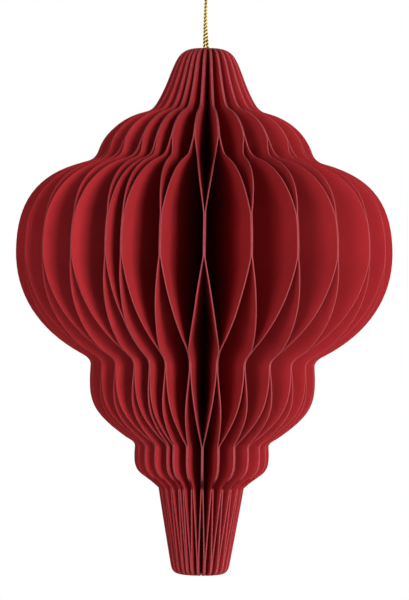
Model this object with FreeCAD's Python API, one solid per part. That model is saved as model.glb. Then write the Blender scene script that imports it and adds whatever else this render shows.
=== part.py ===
import FreeCAD, Part
import math
import os

# A hanging paper ornament. Identical die-cut leaves stand round an axis like the pages of a book
# opened in a full ring. Each leaf is glued to one neighbour along some lines and to its other
# neighbour along the lines between, so the ring opens into honeycomb cells. The cut edge of the leaf
# steps from a neck through four lobes to a tapered tail. A doubled cord comes out of the hollow spine
# at the top, and its two legs end in a knot inside.
# Units are mm. The origin is the point that the loop of cord hangs from, and +Z runs up the axis of
# the ring. The front is towards -Y.

# Paper and ring
paper_thickness = 0.3
glue_film = 0.04
pair_count = 27

# Radius of the leaf's cut edge at each of its points, from the top edge down
top_edge_radius = 4.0
neck_radius = 8.2
neck_foot_radius = 13.9
upper_shoulder_radius = 18.0
upper_lobe_radius = 30.4
main_shoulder_radius = 35.95
main_lobe_radius = 53.75
main_foot_radius = 34.85
lower_waist_radius = 32.05
lower_lobe_radius = 32.2
lower_foot_radius = 21.55
small_waist_radius = 19.15
small_lobe_radius = 19.25
small_foot_radius = 14.2
tail_radius = 12.25
tail_end_radius = 8.45
bottom_edge_radius = 5.0

# Drop to each of those points from the one above
neck_drop = 2.5
neck_foot_drop = 12.7
upper_shoulder_drop = 3.3
upper_lobe_drop = 10.35
main_shoulder_drop = 4.55
main_lobe_drop = 25.2
main_foot_drop = 28.8
lower_waist_drop = 3.05
lower_lobe_drop = 4.05
lower_foot_drop = 16.65
small_waist_drop = 2.35
small_lobe_drop = 2.2
small_foot_drop = 7.5
tail_drop = 1.9
tail_end_drop = 21.95
bottom_edge_drop = 2.95

# The cut edge, from the top edge down: name, radius and drop of each point
cut_edge = [
    ("top edge", top_edge_radius, 0.0),
    ("neck", neck_radius, neck_drop),
    ("neck foot", neck_foot_radius, neck_foot_drop),
    ("upper shoulder", upper_shoulder_radius, upper_shoulder_drop),
    ("upper lobe", upper_lobe_radius, upper_lobe_drop),
    ("main shoulder", main_shoulder_radius, main_shoulder_drop),
    ("main lobe", main_lobe_radius, main_lobe_drop),
    ("main foot", main_foot_radius, main_foot_drop),
    ("lower waist", lower_waist_radius, lower_waist_drop),
    ("lower lobe", lower_lobe_radius, lower_lobe_drop),
    ("lower foot", lower_foot_radius, lower_foot_drop),
    ("small waist", small_waist_radius, small_waist_drop),
    ("small lobe", small_lobe_radius, small_lobe_drop),
    ("small foot", small_foot_radius, small_foot_drop),
    ("tail", tail_radius, tail_drop),
    ("tail end", tail_end_radius, tail_end_drop),
    ("bottom edge", bottom_edge_radius, bottom_edge_drop),
]

# The curve through those points, in the same order: the edge's angle at each point, in degrees from
# straight down with outward positive, the ratio of the distance between two points over which the
# curve holds that angle, before the point and after it, and the number of chords that the curve above
# the point is cut into
edge_angles = [90, 32, 30, 75, 18, 74, 0, -62, 0, 0, -55, 0, 0, -66, -9, -10, -90]
ratios_before = [0.0, 0.36, 0.42, 0.26, 0.28, 0.4, 0.46, 0.41, 0.4, 0.38, 0.56, 0.39, 0.4, 0.58, 0.34, 0.46, 0.57]
ratios_after = [0.31, 0.24, 0.56, 0.42, 0.49, 0.41, 0.34, 0.25, 0.2, 0.36, 0.2, 0.26, 0.38, 0.42, 0.22, 0.43, 0.0]
chord_counts = [0, 3, 2, 2, 4, 3, 6, 6, 2, 1, 4, 2, 1, 3, 2, 2, 3]

# Glue lines, each measured along the height of the cut edge from a point of it. A leaf meets its
# one neighbour at the main and the small lobe, and its other neighbour at the neck, the lower waist
# and the tail's end.
neck_glue_below_shoulder = 8.6
main_glue_above_lobe = 9.3
main_glue_below_lobe = 2.3
waist_glue_above_waist = 4.75
waist_glue_below_waist = 0.3
small_glue_above_lobe = 2.7
small_glue_below_lobe = 7.1
tail_glue_height = 4.0

# How a leaf crosses from each glue line to the next one down. At 1 its cut edge is straight as seen
# from the front, and above 1 it keeps longer to the neighbour it meets at the neck, waist and tail.
crossing_powers = [1.0, 1.0, 1.5, 1.0]

# The ring was closed at one cell of the front, which is narrow and is glued higher at the waist.
# The front's other cells are as they were opened by hand, and the back's are even.
first_azimuth = -83.0
front_cell_angles = [15.0, 12.5, 13.5, 12.6, 5.1, 11.7, 12.6, 13.6, 14.3, 14.4, 15.5, 12.2, 15.0]
closing_cell_index = 4
closing_glue_above_waist = 12.4

# Hanging cord: section, height of the loop over the leaves, and the knot in the spine, with the
# straight lead of each leg over it
cord_diameter = 1.0
cord_sides = 12
loop_height = 22.0
knot_depth = 7.0
knot_lead = 3.5
knot_height = 4.0
knot_chamfer = 1.0
knot_clearance = 0.2

# Route of the cord's two legs, from the knot up to the loop: how far each is sideways of the axis,
# how far both are forward or back of it, and their height over the leaves' top edge
front_leg_sideways = [-0.6, -0.6, -0.7, -0.6, -0.42]
back_leg_sideways = [0.6, 0.6, 0.1, -0.4, -0.4]
leg_spread = [0.0, 0.0, 0.65, 0.95, 2.35]
leg_height = [-knot_depth, knot_lead - knot_depth, 1.5, 7.5, 13.9]
loop_radius = 3.95
loop_corners = [-78.0, -26.0, 26.0, 78.0]


def outward(azimuth):
    """Level direction away from the axis, at degrees to the right of the front."""
    angle = math.radians(azimuth)
    return FreeCAD.Vector(math.sin(angle), -math.cos(angle), 0)


def rightward(azimuth):
    """Level direction square to outward, towards growing azimuth."""
    angle = math.radians(azimuth)
    return FreeCAD.Vector(math.cos(angle), math.sin(angle), 0)


def azimuth_of(vector):
    return math.degrees(math.atan2(vector.x, -vector.y))


def up(height):
    return FreeCAD.Vector(0, 0, height)


# Heights are counted from the bottom edge of the leaves up to here.
body_height = sum(row[2] for row in cut_edge)
height_at = {}
drop_so_far = 0.0
for name, radius, drop in cut_edge:
    drop_so_far += drop
    height_at[name] = body_height - drop_so_far


def trace_cut_edge():
    """Corners of the cut edge as radius and height, on curves through its points."""
    points = []
    for name, radius, drop in cut_edge:
        points.append(FreeCAD.Vector(radius, height_at[name], 0))
    corners = [(points[0].x, points[0].y)]
    for place in range(1, len(points)):
        start = points[place - 1]
        end = points[place]
        reach = start.distanceToPoint(end)
        leave = outward(edge_angles[place - 1]) * (ratios_after[place - 1] * reach)
        arrive = outward(edge_angles[place]) * (ratios_before[place] * reach)
        curve = Part.BezierCurve()
        curve.setPoles([start, start + leave, end - arrive, end])
        for step in range(1, chord_counts[place] + 1):
            corner = curve.value(step / chord_counts[place])
            corners.append((corner.x, corner.y))
    return corners


def glue_bands(closes_ring):
    """Top and bottom of each glue line, from the top down. Odd ones face the pair's other leaf."""
    waist_above = closing_glue_above_waist if closes_ring else waist_glue_above_waist
    return [
        (body_height, height_at["upper shoulder"] - neck_glue_below_shoulder),
        (height_at["main lobe"] + main_glue_above_lobe, height_at["main lobe"] - main_glue_below_lobe),
        (height_at["lower waist"] + waist_above, height_at["lower waist"] - waist_glue_below_waist),
        (height_at["small lobe"] + small_glue_above_lobe, height_at["small lobe"] - small_glue_below_lobe),
        (tail_glue_height, 0.0),
    ]


def edge_radius(height):
    """Radius of the cut edge at a height."""
    for (radius, level), (next_radius, next_level) in zip(edge_corners, edge_corners[1:]):
        if next_level <= height <= level:
            return radius + (next_radius - radius) * (level - height) / (level - next_level)
    return edge_corners[-1][0]


def swing(radius, height, bands):
    """0 where the leaf lies on its own pair's side, 1 on the next pair's side, and between in a fan."""
    for number, (top, bottom) in enumerate(bands):
        meets_next_pair = number % 2 == 0
        if height > top + 1e-6:
            above = bands[number - 1][1]
            meeting = top if meets_next_pair else above
            away = abs(meeting - height) / (above - top)
            gap_share = 1 - away ** crossing_powers[number - 1]
            return min(1.0, gap_share * edge_radius(meeting) / radius)
        if height >= bottom - 1e-6:
            return float(meets_next_pair)


leaf_count = 2 * pair_count
leaf_pitch = 360.0 / leaf_count
leaf_spacing = paper_thickness + glue_film
spine_radius = leaf_spacing / (2 * math.sin(math.radians(leaf_pitch / 2)))
edge_corners = trace_cut_edge()
least_chord = 0.3

# Azimuth of each glued pair at the main lobe, and of the next pair's side of the cell beside it
pair_azimuths = [first_azimuth]
for cell in front_cell_angles:
    pair_azimuths.append(pair_azimuths[-1] + cell)
back_cells = pair_count - len(front_cell_angles)
back_cell = (360.0 - sum(front_cell_angles)) / back_cells
while len(pair_azimuths) < pair_count + 1:
    pair_azimuths.append(pair_azimuths[-1] + back_cell)
cell_middles = [(left + right) / 2 for left, right in zip(pair_azimuths, pair_azimuths[1:])]
cell_middles.insert(0, cell_middles[-1] - 360.0)


def leaf_sides(number):
    """Azimuths on which leaf number meets its pair and its next neighbour, and its side of the pair."""
    pair, right = divmod(number, 2)
    return pair_azimuths[pair], cell_middles[pair + right], 2 * right - 1


# The spine edges are evenly spaced, whatever the cells outside do.
spine_start = 0.0
for number in range(leaf_count):
    pair_side, cell_side, hand = leaf_sides(number)
    spine_start += ((pair_side + cell_side) / 2 - number * leaf_pitch) / leaf_count


def leaf(number):
    """One leaf: flat where it is glued, and between glue lines curved as cones from its spine edge."""
    pair_side, cell_side, hand = leaf_sides(number)
    closes_ring = number in (2 * closing_cell_index + 1, 2 * closing_cell_index + 2)
    bands = glue_bands(closes_ring)
    spine = outward(spine_start + number * leaf_pitch) * spine_radius
    offset = hand * leaf_spacing / 2
    pair_aim = outward(pair_side) * main_lobe_radius + rightward(pair_side) * offset
    cell_aim = outward(cell_side) * main_lobe_radius - rightward(cell_side) * offset
    pair_azimuth = azimuth_of(pair_aim - spine)
    turn = (azimuth_of(cell_aim - spine) - pair_azimuth + 180.0) % 360.0 - 180.0

    # corners of the cut edge, with one at each end of each glue line
    corners_here = list(edge_corners)
    for level in [level for band in bands for level in band][1:-1]:
        if min(abs(level - height) for radius, height in edge_corners) > least_chord:
            corners_here.append((edge_radius(level), level))
    corners_here.sort(key=lambda corner: -corner[1])
    rim = []
    for radius, height in corners_here:
        azimuth = pair_azimuth + turn * swing(radius, height, bands)
        rim.append(spine + outward(azimuth) * (radius - spine_radius) + up(height))

    # spine corners: the two ends, and one half way between each glue line and the next
    folds = [body_height]
    for above, below in zip(bands, bands[1:]):
        folds.append((above[1] + below[0]) / 2)
    folds.append(0.0)
    back = [spine + up(height) for height in folds]

    # panels: a flat one at each glue line, then a fan of flat facets down to the next one
    panels = []
    last = 0
    for place, (top, bottom) in enumerate(bands):
        inside = [k for k, (r, h) in enumerate(corners_here) if bottom - 1e-6 <= h <= top + 1e-6]
        if place:
            for k in range(last, inside[0]):
                panels.append([back[place], rim[k], rim[k + 1]])
        flat = [rim[k] for k in range(inside[0], inside[-1] + 1)]
        panels.append([back[place]] + flat + [back[place + 1]])
        last = inside[-1]

    square = rightward(pair_azimuth + turn / 2)
    half = square * (paper_thickness / 2)
    faces = []
    for panel in panels:
        for side in (half, -half):
            corners = [corner + side for corner in panel]
            faces.append(Part.Face(Part.makePolygon(corners + corners[:1])))
    border = rim + back[::-1]
    for here, there in zip(border, border[1:] + border[:1]):
        corners = [here + half, there + half, there - half, here - half]
        faces.append(Part.Face(Part.makePolygon(corners + corners[:1])))
    solid = Part.Solid(Part.Shell(faces))
    if solid.Volume < 0:
        solid.reverse()
    return solid


def cord_route():
    """Points from the knot up the front leg, round the loop and down the back leg."""
    front = []
    back = []
    for step in range(len(leg_height)):
        front.append(FreeCAD.Vector(front_leg_sideways[step], -leg_spread[step], leg_height[step]))
        back.append(FreeCAD.Vector(back_leg_sideways[step], leg_spread[step], leg_height[step]))
    crown = loop_radius * math.cos(math.radians(loop_corners[1]))
    centre = loop_height + cord_diameter / 2 - crown
    loop = []
    for corner in loop_corners:
        angle = math.radians(corner)
        loop.append(FreeCAD.Vector(0, loop_radius * math.sin(angle), centre + loop_radius * math.cos(angle)))
    return front + loop + back[::-1]


def rounded_wire(points):
    """Straight runs joined by tangent arcs, each as large as its two runs allow."""
    edges = []
    radii = []
    here = points[0]
    for before, corner, after in zip(points, points[1:], points[2:]):
        arriving = corner - before
        leaving = after - corner
        turn = arriving.getAngle(leaving)
        setback = 0.45 * min(arriving.Length, leaving.Length)
        radius = setback / math.tan(turn / 2)
        radii.append(radius)
        arriving.normalize()
        leaving.normalize()
        start = corner - arriving * setback
        end = corner + leaving * setback
        inward = leaving - arriving
        inward.normalize()
        middle = corner + inward * (radius / math.cos(turn / 2) - radius)
        edges.append(Part.LineSegment(here, start).toShape())
        edges.append(Part.Arc(start, middle, end).toShape())
        here = end
    edges.append(Part.LineSegment(here, points[-1]).toShape())
    return Part.Wire(edges), radii


def cord(points):
    """A many-sided tube along the rounded route, starting square to its first run."""
    path, radii = rounded_wire(points)
    along = points[1] - points[0]
    across = along.cross(outward(0)).normalize()
    over = along.cross(across).normalize()
    ring = []
    for side in range(cord_sides):
        angle = 2 * math.pi * side / cord_sides
        ring.append(points[0] + (across * math.cos(angle) + over * math.sin(angle)) * (cord_diameter / 2))
    section = Part.Face(Part.makePolygon(ring + ring[:1]))
    tube = path.makePipe(section)
    share = tube.Volume / (section.Area * path.Length)
    print("cord length %.2f, its volume is %.4f of section times length" % (path.Length, share))
    print("cord bend radii", " ".join("%.1f" % radius for radius in radii))
    return tube


def knot():
    """The knot of the two legs, sized to sit in the hollow spine with its flat top under them."""
    radius = spine_radius - knot_clearance
    barrel = Part.makeCylinder(radius, knot_height, up(-knot_depth - knot_height))
    rims = [edge for edge in barrel.Edges if isinstance(edge.Curve, Part.Circle)]
    return barrel.makeChamfer(knot_chamfer, rims)


# Everything above counts height from the leaves, and the origin is at the loop.
pieces = {}
for number in range(leaf_count):
    piece = leaf(number)
    piece.translate(up(-loop_height - body_height))
    pieces["leaf_%02d" % (number + 1)] = piece
pieces["hanging_cord"] = cord([point - up(loop_height) for point in cord_route()])
pieces["cord_knot"] = knot()
pieces["cord_knot"].translate(up(-loop_height))

os.makedirs("parts", exist_ok=True)
for name, piece in pieces.items():
    piece.exportStep("parts/%s.step" % name)
    if not piece.isValid():
        print(name, "is not valid")
print(len(pieces), "pieces, body height", body_height, "spine radius", round(spine_radius, 3))
print("paper volume %.0f mm3" % sum(p.Volume for n, p in pieces.items() if n.startswith("leaf")))
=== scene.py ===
import math
import bpy
from mathutils import Vector, Matrix


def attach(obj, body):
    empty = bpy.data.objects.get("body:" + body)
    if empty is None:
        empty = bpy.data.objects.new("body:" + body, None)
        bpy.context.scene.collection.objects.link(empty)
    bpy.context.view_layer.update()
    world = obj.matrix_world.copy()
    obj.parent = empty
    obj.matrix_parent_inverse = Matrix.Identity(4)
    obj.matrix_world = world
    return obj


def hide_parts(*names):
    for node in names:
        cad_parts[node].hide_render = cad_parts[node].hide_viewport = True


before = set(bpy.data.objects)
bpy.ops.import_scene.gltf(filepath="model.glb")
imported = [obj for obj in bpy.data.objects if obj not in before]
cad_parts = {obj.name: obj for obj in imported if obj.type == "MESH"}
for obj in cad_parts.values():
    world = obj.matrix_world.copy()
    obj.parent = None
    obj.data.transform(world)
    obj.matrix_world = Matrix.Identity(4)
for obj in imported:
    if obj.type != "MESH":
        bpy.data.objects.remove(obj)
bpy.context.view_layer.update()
scene = bpy.context.scene

# The camera stands level with the widest lobe, a long step back, and looks a little upwards. It is
# turned about its own axis, because the ornament hangs a little out of plumb in the picture.
camera_distance = 0.7
camera_sideways = 0.00028
camera_height = -0.10347
camera_pitch = math.radians(0.796)
camera_roll = math.radians(0.745)
focal_pixels = 2448.0
picture_height = 600
camera_data = bpy.data.cameras.new("camera")
camera_data.lens = camera_data.sensor_width * focal_pixels / picture_height
camera_data.clip_start = 0.01
camera = bpy.data.objects.new("camera", camera_data)
scene.collection.objects.link(camera)
scene.camera = camera
level_right = Vector((1, 0, 0))
pitched_up = Vector((0, -math.sin(camera_pitch), math.cos(camera_pitch)))
backwards = Vector((0, -math.cos(camera_pitch), -math.sin(camera_pitch)))
right = level_right * math.cos(camera_roll) + pitched_up * math.sin(camera_roll)
up = pitched_up * math.cos(camera_roll) - level_right * math.sin(camera_roll)
place = Vector((camera_sideways, -camera_distance, camera_height))
camera.matrix_world = Matrix.Translation(place) @ Matrix((right, up, backwards)).transposed().to_4x4()


# Hanging cord: two plies of gold metallic yarn laid into a cord 1 mm thick, each ply a few flat
# filaments wound round a core. It is limp, and the ornament's weight pulls both legs of its loop
# almost straight, from the knot inside the spine up to the peg that it hangs on.
cord_route = [
    (-0.0006, 0.0, -0.029), (-0.0006, 0.0, -0.0255), (-0.0007, -0.00065, -0.0205),
    (-0.0006, -0.00095, -0.0145), (-0.00042, -0.00235, -0.0081), (0.0, -0.003864, -0.002229),
    (0.0, -0.001732, 0.0005), (0.0, 0.001732, 0.0005), (0.0, 0.003864, -0.002229),
    (-0.0004, 0.00235, -0.0081), (-0.0004, 0.00095, -0.0145), (0.0001, 0.00065, -0.0205),
    (0.0006, 0.0, -0.0255), (0.0006, 0.0, -0.029),
]


class Wire:
    """One output of a node, on which sums are written as sums."""

    def __init__(self, bench, socket):
        self.bench = bench
        self.socket = socket

    def maths(self, operation, *values):
        return self.bench.add("ShaderNodeMath", {"operation": operation}, dict(enumerate(values)))

    def __add__(self, other):
        return self.maths("ADD", self, other)

    def __radd__(self, other):
        return self.maths("ADD", other, self)

    def __sub__(self, other):
        return self.maths("SUBTRACT", self, other)

    def __rsub__(self, other):
        return self.maths("SUBTRACT", other, self)

    def __mul__(self, other):
        return self.maths("MULTIPLY", self, other)

    def __rmul__(self, other):
        return self.maths("MULTIPLY", other, self)

    def __truediv__(self, other):
        return self.maths("DIVIDE", self, other)

    def sine(self):
        return self.maths("SINE", self)

    def cosine(self):
        return self.maths("COSINE", self)

    def clipped(self):
        return self.bench.add("ShaderNodeClamp", {}, {"Value": self})


class Bench:
    """Adds nodes to one tree: their settings first, then the values or wires of their sockets."""

    def __init__(self, tree):
        self.tree = tree

    def add(self, kind, settings, sockets, out=0):
        node = self.tree.nodes.new(kind)
        for name, value in settings.items():
            if name == "stops":
                tones = node.color_ramp.elements
                while len(tones) < len(value):
                    tones.new(1.0)
                for element, (position, colour) in zip(tones, value):
                    element.position = position
                    element.color = colour
            else:
                setattr(node, name, value)
        for name, value in sockets.items():
            if isinstance(value, Wire):
                self.tree.links.new(value.socket, node.inputs[name])
            else:
                node.inputs[name].default_value = value
        return Wire(self, node.outputs[out])

    def beside(self, wire, out):
        """Another output of the node that a wire comes from."""
        return Wire(self, wire.socket.node.outputs[out])

    def feed(self, wire, socket):
        self.tree.links.new(wire.socket, socket)

    def vector(self, operation, *values):
        return self.add("ShaderNodeVectorMath", {"operation": operation}, dict(enumerate(values)))

    def scaled(self, direction, amount):
        return self.add("ShaderNodeVectorMath", {"operation": "SCALE"}, {0: direction, "Scale": amount})

    def ramp(self, value, start, end, kind="LINEAR"):
        """0 at start and 1 at end, straight between unless the kind says otherwise."""
        return self.add("ShaderNodeMapRange", {"interpolation_type": kind}, {
            "Value": value, "From Min": start, "From Max": end, "To Min": 0.0, "To Max": 1.0})

    def white_rays(self):
        """1 for the rays to which the room is white: camera, mirrored and see-through ones."""
        rays = self.add("ShaderNodeLightPath", {}, {}, out="Is Camera Ray")
        mirrored = self.beside(rays, "Is Glossy Ray")
        through = self.beside(rays, "Is Transmission Ray")
        return (rays + mirrored + through).clipped()


def smooth_line(points, pieces_per_point):
    """The smooth line that a row of points pulls into shape, as closely spaced points."""
    line = bpy.data.curves.new("line", "CURVE")
    line.dimensions = "3D"
    line.resolution_u = pieces_per_point
    spline = line.splines.new("NURBS")
    spline.points.add(len(points) - 1)
    for control, point in zip(spline.points, points):
        control.co = (*point, 1.0)
    spline.order_u = 3
    spline.use_endpoint_u = True
    holder = bpy.data.objects.new("line", line)
    scene.collection.objects.link(holder)
    depsgraph = bpy.context.evaluated_depsgraph_get()
    mesh = bpy.data.meshes.new_from_object(holder.evaluated_get(depsgraph), depsgraph=depsgraph)
    spots = [vertex.co.copy() for vertex in mesh.vertices]
    bpy.data.objects.remove(holder)
    bpy.data.meshes.remove(mesh)
    return spots


def grown(name, tree, source, sizes):
    """Runs a geometry tree on a source object and keeps what it makes as a plain mesh."""
    modifier = source.modifiers.new("making", "NODES")
    modifier.node_group = tree
    for item in tree.interface.items_tree:
        if item.in_out == "INPUT" and item.name in sizes:
            modifier[item.identifier] = sizes[item.name]
    depsgraph = bpy.context.evaluated_depsgraph_get()
    mesh = bpy.data.meshes.new_from_object(source.evaluated_get(depsgraph), depsgraph=depsgraph)
    source.modifiers.remove(modifier)
    mesh.name = name
    piece = bpy.data.objects.new(name, mesh)
    scene.collection.objects.link(piece)
    return piece


def polyline(name, points):
    """A bare line of edges through some points."""
    mesh = bpy.data.meshes.new(name)
    mesh.from_pydata(points, [(n, n + 1) for n in range(len(points) - 1)], [])
    thing = bpy.data.objects.new(name, mesh)
    scene.collection.objects.link(thing)
    return thing


def new_tree(name, inputs):
    """An empty geometry tree with its named inputs, and its group input node."""
    tree = bpy.data.node_groups.new(name, "GeometryNodeTree")
    tree.interface.new_socket("Geometry", in_out="OUTPUT", socket_type="NodeSocketGeometry")
    tree.interface.new_socket("Geometry", in_out="INPUT", socket_type="NodeSocketGeometry")
    for label, kind in inputs:
        tree.interface.new_socket(label, in_out="INPUT", socket_type="NodeSocket" + kind)
    bench = Bench(tree)
    given = tree.nodes.new("NodeGroupInput")
    return tree, bench, {socket.name: Wire(bench, socket) for socket in given.outputs if socket.name}


def new_material(name):
    """A material, its shader and the bench of its tree."""
    material = bpy.data.materials.new(name)
    material.use_nodes = True
    return material, material.node_tree.nodes["Principled BSDF"], Bench(material.node_tree)


gold_yarn, shader, bench = new_material("gold_yarn")
spot = bench.add("ShaderNodeTexCoord", {}, {}, out="Object")
glint = bench.add("ShaderNodeTexNoise", {}, {"Vector": spot, "Scale": 2600.0, "Detail": 2.0})
# The tree below marks each filament with its distance from the cord's middle, and the ramp turns that into
# painted shade: dark in the grooves between the plies and bright on their crowns.
lay = bench.add("ShaderNodeAttribute", {"attribute_name": "lay"}, {}, out="Fac")
tone = bench.add("ShaderNodeValToRGB", {"stops": [
    (0.58, (0.012, 0.008, 0.002, 1)), (0.8, (0.22, 0.14, 0.03, 1)), (1.0, (0.8, 0.62, 0.22, 1)),
]}, {"Fac": lay * 0.85 + glint * 0.25})
bench.feed(tone, shader.inputs["Base Color"])
shader.inputs["Metallic"].default_value = 0.85
bench.feed(0.24 + glint * 0.3, shader.inputs["Roughness"])

# The tree lays each ply round the cord's line, and each ply's filaments round the ply the other way.
yarn_tree, bench, given = new_tree("yarn", [
    ("Ply Radius", "Float"), ("Ply Pitch", "Float"), ("Filament Radius", "Float"),
    ("Filament Pitch", "Float"), ("Material", "Material"),
])
line = bench.add("GeometryNodeMeshToCurve", {}, {"Mesh": given["Geometry"]})
ply_count = 2
filament_count = 6
filament_sides = 5
filament_half = 0.000095
spot_step = 0.00009
line_spots = bench.add("GeometryNodeResampleCurve", {"mode": "LENGTH"}, {"Curve": line, "Length": spot_step})
strands = bench.add("GeometryNodeJoinGeometry", {}, {})
for ply in range(ply_count):
    for filament in range(filament_count):
        along = bench.add("GeometryNodeSplineParameter", {}, {}, out="Length")
        ply_turn = along * (2 * math.pi) / given["Ply Pitch"] + ply * 2 * math.pi / ply_count
        own_turn = along * (-2 * math.pi) / given["Filament Pitch"] + filament * 2 * math.pi / filament_count
        out_x = ply_turn.cosine() * given["Ply Radius"] + own_turn.cosine() * given["Filament Radius"]
        out_y = ply_turn.sine() * given["Ply Radius"] + own_turn.sine() * given["Filament Radius"]
        tangent = bench.add("GeometryNodeInputTangent", {}, {})
        side = bench.add("GeometryNodeInputNormal", {}, {})
        other = bench.vector("CROSS_PRODUCT", tangent, side)
        offset = bench.vector("ADD", bench.scaled(side, out_x), bench.scaled(other, out_y))
        # this distance from the cord's middle darkens the yarn into painted shade in the grooves between the
        # plies
        reach = out_x * out_x + out_y * out_y
        reach = reach.maths("SQRT", reach) / (given["Ply Radius"] + given["Filament Radius"])
        marked = bench.add("GeometryNodeStoreNamedAttribute", {"data_type": "FLOAT", "domain": "POINT"}, {
            "Geometry": line_spots, "Name": "lay", "Value": reach})
        laid = bench.add("GeometryNodeSetPosition", {}, {"Geometry": marked, "Offset": offset})
        bench.feed(laid, strands.socket.node.inputs["Geometry"])
section = bench.add("GeometryNodeCurvePrimitiveCircle", {}, {
    "Resolution": filament_sides, "Radius": filament_half})
tubes = bench.add("GeometryNodeCurveToMesh", {}, {
    "Curve": strands, "Profile Curve": section, "Fill Caps": True})
solid = bench.add("GeometryNodeRealizeInstances", {}, {"Geometry": tubes})
painted = bench.add("GeometryNodeSetMaterial", {}, {"Geometry": solid, "Material": given["Material"]})
result = yarn_tree.nodes.new("NodeGroupOutput")
bench.feed(painted, result.inputs["Geometry"])

yarn_sizes = {
    "Ply Radius": 0.00025, "Ply Pitch": 0.002, "Filament Radius": 0.000155,
    "Filament Pitch": 0.0011, "Material": gold_yarn,
}
cord_line = smooth_line(cord_route, 12)
cord_base = polyline("cord_line", cord_line)
cord = grown("cord_yarn", yarn_tree, cord_base, yarn_sizes)
bpy.data.objects.remove(cord_base)
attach(cord, "root")
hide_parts("hanging_cord")

# Knot: both ends of the cord tied in one overhand knot, pulled tight. It sits in the hollow of the
# spine, wider than the mouth between the leaves' top corners is round the cord, with a drop of glue.
knot_top = -0.029
knot_ring = 0.00115
knot_height = 0.0032
knot_bulge = 0.45
knot_crossing = 0.001
knot_lobes = 1.5
knot_steps = 48
knot_line = []
for step in range(knot_steps + 1):
    turn = 4 * math.pi * step / knot_steps
    reach = knot_ring * (1 + knot_bulge * math.cos(knot_lobes * turn))
    depth = knot_top - 0.5 * knot_height - knot_crossing * math.sin(knot_lobes * turn)
    knot_line.append((reach * math.cos(turn), reach * math.sin(turn), depth))
knot_base = polyline("knot_line", smooth_line(knot_line, 4))
knot = grown("knot_yarn", yarn_tree, knot_base, yarn_sizes)
bpy.data.objects.remove(knot_base)
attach(knot, "root")
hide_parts("cord_knot")

# Leaves: one die-cut sheet of card each, 54 of them round the spine. Glue holds each to one
# neighbour at its widest and its small lobe, and to the other at the neck, the waist and the tail.
# Opening the ring pulls them into cells, with each sheet curved between its glue lines.
paper_thickness = 0.0003
glue_film = 0.00004
pair_count = 27
leaf_count = 2 * pair_count
leaf_spacing = paper_thickness + glue_film
spine_radius = leaf_spacing / (2 * math.sin(math.pi / leaf_count))
leaf_top = -0.022
# each point of the cut edge: radius and drop from the point above in mm, the edge's lean from
# straight down in degrees, and the share of the way over which it holds that lean, before and after
cut_points = [
    (4.0, 0.0, 90, 0.0, 0.31),
    (8.2, 2.5, 32, 0.36, 0.24),
    (13.9, 12.7, 30, 0.42, 0.56),
    (18.0, 3.3, 75, 0.26, 0.42),
    (30.4, 10.35, 18, 0.28, 0.49),
    (35.95, 4.55, 74, 0.4, 0.41),
    (53.75, 25.2, 0, 0.46, 0.34),
    (34.85, 28.8, -62, 0.41, 0.25),
    (32.05, 3.05, 0, 0.4, 0.2),
    (32.2, 4.05, 0, 0.38, 0.36),
    (21.55, 16.65, -55, 0.56, 0.2),
    (19.15, 2.35, 0, 0.39, 0.26),
    (19.25, 2.2, 0, 0.4, 0.38),
    (14.2, 7.5, -66, 0.58, 0.42),
    (12.25, 1.9, -9, 0.34, 0.22),
    (8.45, 21.95, -10, 0.46, 0.43),
    (5.0, 2.95, -90, 0.57, 0.0),
]
# glue lines from the top down, as the heights of their two ends in mm under the top edge
glue_lines = [(0.0, 27.1), (49.3, 60.9), (85.7, 90.75), (113.0, 122.8), (146.0, 150.0)]
closing_line_top = 78.05
# how a leaf crosses from each glue line to the next: 1 is a straight cut edge as seen from the
# front, and above 1 it keeps longer to the neighbour that it meets at the neck, waist and tail
crossing_powers = [1.0, 1.0, 1.5, 1.0]
# opening angle of each front cell in degrees, the fifth of them being where the ring was closed
first_azimuth = -83.0
front_cells = [15.0, 12.5, 13.5, 12.6, 5.1, 11.7, 12.6, 13.6, 14.3, 14.4, 15.5, 12.2, 15.0]
closing_cell = 4

edge_line = bpy.data.curves.new("cut_edge", "CURVE")
edge_line.dimensions = "3D"
edge_line.resolution_u = 16
edge_spline = edge_line.splines.new("BEZIER")
edge_spline.bezier_points.add(len(cut_points) - 1)
places = []
height = leaf_top * 1000
for radius, drop, lean, before, after in cut_points:
    height -= drop
    places.append(Vector((radius, 0.0, height)))
for number, (radius, drop, lean, before, after) in enumerate(cut_points):
    point = edge_spline.bezier_points[number]
    heading = Vector((math.sin(math.radians(lean)), 0.0, -math.cos(math.radians(lean))))
    reach_before = (places[number] - places[number - 1]).length if number else 0.0
    reach_after = (places[number + 1] - places[number]).length if number + 1 < len(places) else 0.0
    point.handle_left_type = "FREE"
    point.handle_right_type = "FREE"
    point.co = places[number] / 1000
    point.handle_left = (places[number] - heading * before * reach_before) / 1000
    point.handle_right = (places[number] + heading * after * reach_after) / 1000
edge_holder = bpy.data.objects.new("cut_edge", edge_line)
scene.collection.objects.link(edge_holder)

red_paper, shader, bench = new_material("red_paper")
spot = bench.add("ShaderNodeTexCoord", {}, {}, out="Object")
cloudy = bench.add("ShaderNodeTexNoise", {}, {"Vector": spot, "Scale": 140.0, "Detail": 3.0})
fibre = bench.add("ShaderNodeTexNoise", {}, {
    "Vector": spot, "Scale": 2200.0, "Detail": 4.0, "Roughness": 0.7})
shade = (0.35 * cloudy + 0.65 * fibre).clipped()
tone = bench.add("ShaderNodeValToRGB", {"stops": [
    (0.32, (0.28, 0.0125, 0.0165, 1)), (0.68, (0.36, 0.0195, 0.024, 1)),
]}, {"Fac": shade})
bench.feed(tone, shader.inputs["Base Color"])
bump = bench.add("ShaderNodeBump", {}, {"Height": fibre, "Strength": 0.35, "Distance": 0.00006})
bench.feed(bump, shader.inputs["Normal"])
shader.inputs["Roughness"].default_value = 0.92
shader.inputs["Specular IOR Level"].default_value = 0.12

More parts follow.
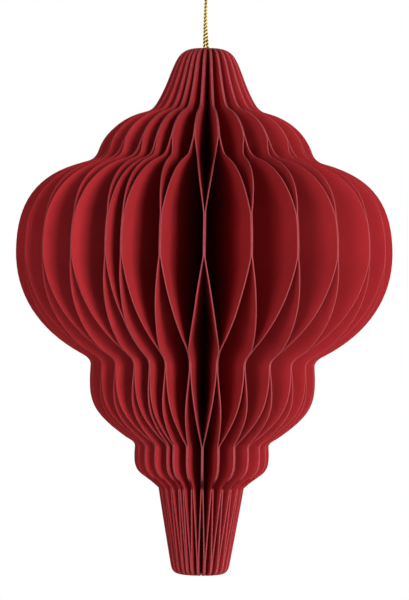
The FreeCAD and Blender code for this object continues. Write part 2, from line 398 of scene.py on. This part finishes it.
cut_paper, shader, bench = new_material("cut_paper")
spot = bench.add("ShaderNodeTexCoord", {}, {}, out="Object")
fibre = bench.add("ShaderNodeTexNoise", {}, {"Vector": spot, "Scale": 1500.0, "Detail": 3.0})
tone = bench.add("ShaderNodeValToRGB", {"stops": [
    (0.3, (0.2, 0.03, 0.035, 1)), (0.7, (0.28, 0.046, 0.051, 1)),
]}, {"Fac": fibre})
bench.feed(tone, shader.inputs["Base Color"])
shader.inputs["Roughness"].default_value = 0.95
shader.inputs["Specular IOR Level"].default_value = 0.15

# The tree makes one leaf. Each row of its grid runs straight from the spine to the cut edge, turned
# to its own pair's side of the cell or to the next pair's, and the grid is then given the card's
# thickness.
glue_names = ["Neck", "Main", "Waist", "Small", "Tail"]
glue_inputs = []
for label in glue_names:
    glue_inputs.append((label + " Glue Top", "Float"))
    glue_inputs.append((label + " Glue Foot", "Float"))
    glue_inputs.append((label + " Crossing Radius", "Float"))
leaf_tree, bench, given = new_tree("leaf", [
    ("Cut Edge", "Object"), ("Spine", "Vector"), ("Spine Radius", "Float"), ("Azimuth", "Float"),
    ("Turn", "Float"), ("Thickness", "Float"), ("Wave", "Float"), ("Seed", "Float"),
    ("Card", "Material"), ("Card Edge", "Material"),
] + glue_inputs)
column_count = 9
merge_distance = 0.000002
crease_angle = 0.7
outline = bench.add("GeometryNodeObjectInfo", {}, {"Object": given["Cut Edge"]}, out="Geometry")
outline = bench.add("GeometryNodeCurveToMesh", {}, {"Curve": outline})
row_count = bench.add("GeometryNodeAttributeDomainSize", {"component": "MESH"}, {"Geometry": outline})
grid = bench.add("GeometryNodeMeshGrid", {}, {"Vertices X": column_count, "Vertices Y": row_count})
index = bench.add("GeometryNodeInputIndex", {}, {})
column = index.maths("FLOOR", index / row_count)
row = index - column * row_count
here = bench.add("GeometryNodeInputPosition", {}, {})
corner = bench.add("GeometryNodeSampleIndex", {"data_type": "FLOAT_VECTOR", "domain": "POINT"}, {
    "Geometry": outline, "Value": here, "Index": row})
radius = bench.add("ShaderNodeSeparateXYZ", {}, {"Vector": corner}, out="X")
height = bench.beside(radius, "Z")

# The swing is 1 at the next pair's side and 0 at the leaf's own pair. Between two glue lines the
# gap to the next pair opens evenly down the cut edge, as seen from the front.
swing = 1.0
for number, (above, below) in enumerate(zip(glue_names, glue_names[1:])):
    upper = given[above + " Glue Foot"]
    lower = given[below + " Glue Top"]
    away = bench.ramp(height, lower, upper) if number % 2 else bench.ramp(height, upper, lower)
    held = 1.0 - away.maths("POWER", away, crossing_powers[number])
    turned = held * given[above + " Crossing Radius"] / radius
    turned = turned.maths("MINIMUM", turned, 1.0)
    swing = swing + height.maths("LESS_THAN", height, upper) * (turned - swing)

# Down the spine each fan starts from one corner, and a little of the edge's own height rounds it.
fan_share = 0.94
spine_height = given[glue_names[0] + " Glue Top"]
last_fold = spine_height
for number, label in enumerate(glue_names):
    top = given[label + " Glue Top"]
    foot = given[label + " Glue Foot"]
    if number + 1 < len(glue_names):
        fold = (foot + given[glue_names[number + 1] + " Glue Top"]) / 2.0
    else:
        fold = foot
    spine_height = spine_height - bench.ramp(height, top, foot) * (last_fold - fold)
    last_fold = fold
spine_height = spine_height * fan_share + height * (1.0 - fan_share)

# A slight waver of the sheet, none at its glue lines
ripple = bench.add("ShaderNodeTexNoise", {"noise_dimensions": "2D"}, {
    "Vector": bench.add("ShaderNodeCombineXYZ", {}, {"X": height, "Y": given["Seed"]}),
    "Scale": 70.0, "Detail": 1.0})
ripple = (ripple - 0.5) * given["Wave"] * swing * (1.0 - swing)
azimuth = given["Azimuth"] + given["Turn"] * swing + ripple
reach = radius - given["Spine Radius"]
rim = bench.add("ShaderNodeCombineXYZ", {}, {
    "X": azimuth.sine() * reach, "Y": azimuth.cosine() * reach * -1.0, "Z": height})
rim = bench.vector("ADD", rim, given["Spine"])
root = bench.add("ShaderNodeCombineXYZ", {}, {"Z": spine_height})
root = bench.vector("ADD", root, given["Spine"])
spread = bench.add("ShaderNodeMix", {"data_type": "VECTOR"}, {
    "Factor": column / (column_count - 1.0), 4: root, 5: rim}, out=1)
square = given["Azimuth"] + given["Turn"] * 0.5
square = bench.add("ShaderNodeCombineXYZ", {}, {"X": square.cosine(), "Y": square.sine()})
inset = bench.scaled(square, given["Thickness"] * -0.5)
sheet = bench.add("GeometryNodeSetPosition", {}, {
    "Geometry": grid, "Position": spread, "Offset": inset})
thick = bench.add("GeometryNodeExtrudeMesh", {"mode": "FACES"}, {
    "Mesh": sheet, "Offset": square, "Offset Scale": given["Thickness"], "Individual": False})
side = bench.beside(thick, "Side")
thick = bench.add("GeometryNodeSetMaterial", {}, {"Geometry": thick, "Material": given["Card"]})
edged = bench.add("GeometryNodeSetMaterial", {}, {
    "Geometry": thick, "Selection": side, "Material": given["Card Edge"]})
under = bench.add("GeometryNodeFlipFaces", {}, {"Mesh": sheet})
under = bench.add("GeometryNodeSetMaterial", {}, {"Geometry": under, "Material": given["Card"]})
whole = bench.add("GeometryNodeJoinGeometry", {}, {"Geometry": edged})
bench.feed(under, whole.socket.node.inputs["Geometry"])
whole = bench.add("GeometryNodeMergeByDistance", {}, {"Geometry": whole, "Distance": merge_distance})
crease = bench.add("FunctionNodeCompare", {"operation": "GREATER_THAN"}, {
    0: bench.add("GeometryNodeInputMeshEdgeAngle", {}, {}), 1: crease_angle})
whole = bench.add("GeometryNodeSetShadeSmooth", {"domain": "FACE"}, {"Geometry": whole, "Shade Smooth": True})
whole = bench.add("GeometryNodeSetShadeSmooth", {"domain": "EDGE"}, {
    "Geometry": whole, "Selection": crease, "Shade Smooth": False})
whole = bench.add("GeometryNodeRealizeInstances", {}, {"Geometry": whole})
result = leaf_tree.nodes.new("NodeGroupOutput")
bench.feed(whole, result.inputs["Geometry"])


def outward(degrees):
    """Level direction away from the axis, at degrees to the right of the front."""
    angle = math.radians(degrees)
    return Vector((math.sin(angle), -math.cos(angle), 0.0))


def rightward(degrees):
    """Level direction square to outward, towards growing azimuth."""
    angle = math.radians(degrees)
    return Vector((math.cos(angle), math.sin(angle), 0.0))


pair_azimuths = [first_azimuth]
for cell in front_cells:
    pair_azimuths.append(pair_azimuths[-1] + cell)
back_cell = (360.0 - sum(front_cells)) / (pair_count - len(front_cells))
while len(pair_azimuths) < pair_count + 1:
    pair_azimuths.append(pair_azimuths[-1] + back_cell)
cell_middles = [(left + right) / 2 for left, right in zip(pair_azimuths, pair_azimuths[1:])]
cell_middles.insert(0, cell_middles[-1] - 360.0)
leaf_sides = []
for number in range(leaf_count):
    pair, hand = divmod(number, 2)
    leaf_sides.append((pair_azimuths[pair], cell_middles[pair + hand], 2 * hand - 1))
leaf_pitch = 360.0 / leaf_count
spine_start = sum((a + b) / 2 - n * leaf_pitch for n, (a, b, hand) in enumerate(leaf_sides)) / leaf_count
main_radius = max(row[0] for row in cut_points) / 1000

edge_corners = [(corner.co.x, corner.co.z) for corner in edge_holder.to_mesh().vertices]


def edge_radius(height):
    """Radius of the cut edge at a height."""
    for (radius, level), (next_radius, next_level) in zip(edge_corners, edge_corners[1:]):
        if next_level <= height <= level:
            return radius + (next_radius - radius) * (level - height) / (level - next_level)
    return edge_corners[-1][0]


leaf_wave = 0.03
seed_step = 0.37
leaf_base = polyline("leaf_base", [(0, 0, 0), (0, 0, 1)])
for number, (pair_side, cell_side, hand) in enumerate(leaf_sides):
    spine = outward(spine_start + number * leaf_pitch) * spine_radius
    offset = hand * leaf_spacing / 2
    pair_aim = outward(pair_side) * main_radius + rightward(pair_side) * offset - spine
    cell_aim = outward(cell_side) * main_radius - rightward(cell_side) * offset - spine
    azimuth = math.atan2(pair_aim.x, -pair_aim.y)
    turn = (math.atan2(cell_aim.x, -cell_aim.y) - azimuth + math.pi) % (2 * math.pi) - math.pi
    sizes = {
        "Cut Edge": edge_holder, "Spine": spine, "Spine Radius": spine_radius, "Azimuth": azimuth,
        "Turn": turn, "Thickness": paper_thickness, "Wave": leaf_wave, "Seed": seed_step * number,
        "Card": red_paper, "Card Edge": cut_paper,
    }
    lines = list(glue_lines)
    if number in (2 * closing_cell + 1, 2 * closing_cell + 2):
        waist = glue_names.index("Waist")
        lines[waist] = (closing_line_top, lines[waist][1])
    for place, (label, (top, foot)) in enumerate(zip(glue_names, lines)):
        meeting = lines[place + 1][0] if place % 2 else foot
        sizes[label + " Glue Top"] = leaf_top - top / 1000
        sizes[label + " Glue Foot"] = leaf_top - foot / 1000
        sizes[label + " Crossing Radius"] = edge_radius(leaf_top - meeting / 1000)
    leaf = grown("paper_leaf_%02d" % (number + 1), leaf_tree, leaf_base, sizes)
    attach(leaf, "root")
    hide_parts("leaf_%02d" % (number + 1))
bpy.data.objects.remove(leaf_base)
bpy.data.objects.remove(edge_holder)

# The room: a pale floor well under the ornament, white all round it to the camera, and three broad
# soft lamps, with the strongest in front to the right and a weaker one level with its right side.
floor_height = -0.3
floor_half = 1.6
fade_start = 0.32
fade_end = 0.55
floor_mesh = bpy.data.meshes.new("floor")
floor_mesh.from_pydata(
    [(-floor_half, -floor_half, floor_height), (floor_half, -floor_half, floor_height),
     (floor_half, floor_half, floor_height), (-floor_half, floor_half, floor_height)],
    [], [(0, 1, 2, 3)])
floor = bpy.data.objects.new("floor", floor_mesh)
scene.collection.objects.link(floor)
pale, shader, bench = new_material("pale_floor")
shader.inputs["Base Color"].default_value = (0.86, 0.86, 0.86, 1)
shader.inputs["Roughness"].default_value = 0.9
spot = bench.add("ShaderNodeTexCoord", {}, {}, out="Object")
reach = bench.beside(bench.vector("LENGTH", spot), "Value")
fade = bench.ramp(reach, fade_start, fade_end, "SMOOTHSTEP")
white = bench.add("ShaderNodeEmission", {}, {"Color": (1, 1, 1, 1), "Strength": 1.0})
mixed = bench.add("ShaderNodeMixShader", {}, {
    "Fac": bench.white_rays() * fade, 1: Wire(bench, shader.outputs[0]), 2: white})
bench.feed(mixed, pale.node_tree.nodes["Material Output"].inputs["Surface"])
floor_mesh.materials.append(pale)

world = bpy.data.worlds.new("room")
scene.world = world
world.use_nodes = True
bench = Bench(world.node_tree)
room_light = 0.02
strength = room_light + bench.white_rays() * (1.0 - room_light)
background = world.node_tree.nodes["Background"]
background.inputs["Color"].default_value = (1, 1, 1, 1)
bench.feed(strength, background.inputs["Strength"])


ornament_middle = Vector((0, 0, -0.1))


def lamp(name, azimuth, elevation, distance, size, power):
    """A square soft lamp that faces the ornament's middle."""
    data = bpy.data.lights.new(name, "AREA")
    data.shape = "SQUARE"
    data.size = size
    data.energy = power
    holder = bpy.data.objects.new(name, data)
    scene.collection.objects.link(holder)
    away = outward(azimuth) * math.cos(math.radians(elevation))
    away.z = math.sin(math.radians(elevation))
    holder.location = ornament_middle + away * distance
    holder.rotation_mode = "QUATERNION"
    holder.rotation_quaternion = away.to_track_quat("Z", "Y")


lamp("left_lamp", azimuth=-27, elevation=5, distance=1.2, size=0.54, power=6.8)
lamp("right_lamp", azimuth=29, elevation=5, distance=1.2, size=0.5, power=16.8)
lamp("side_lamp", azimuth=98, elevation=8, distance=1.2, size=0.5, power=10)
scene.view_settings.view_transform = "Standard"
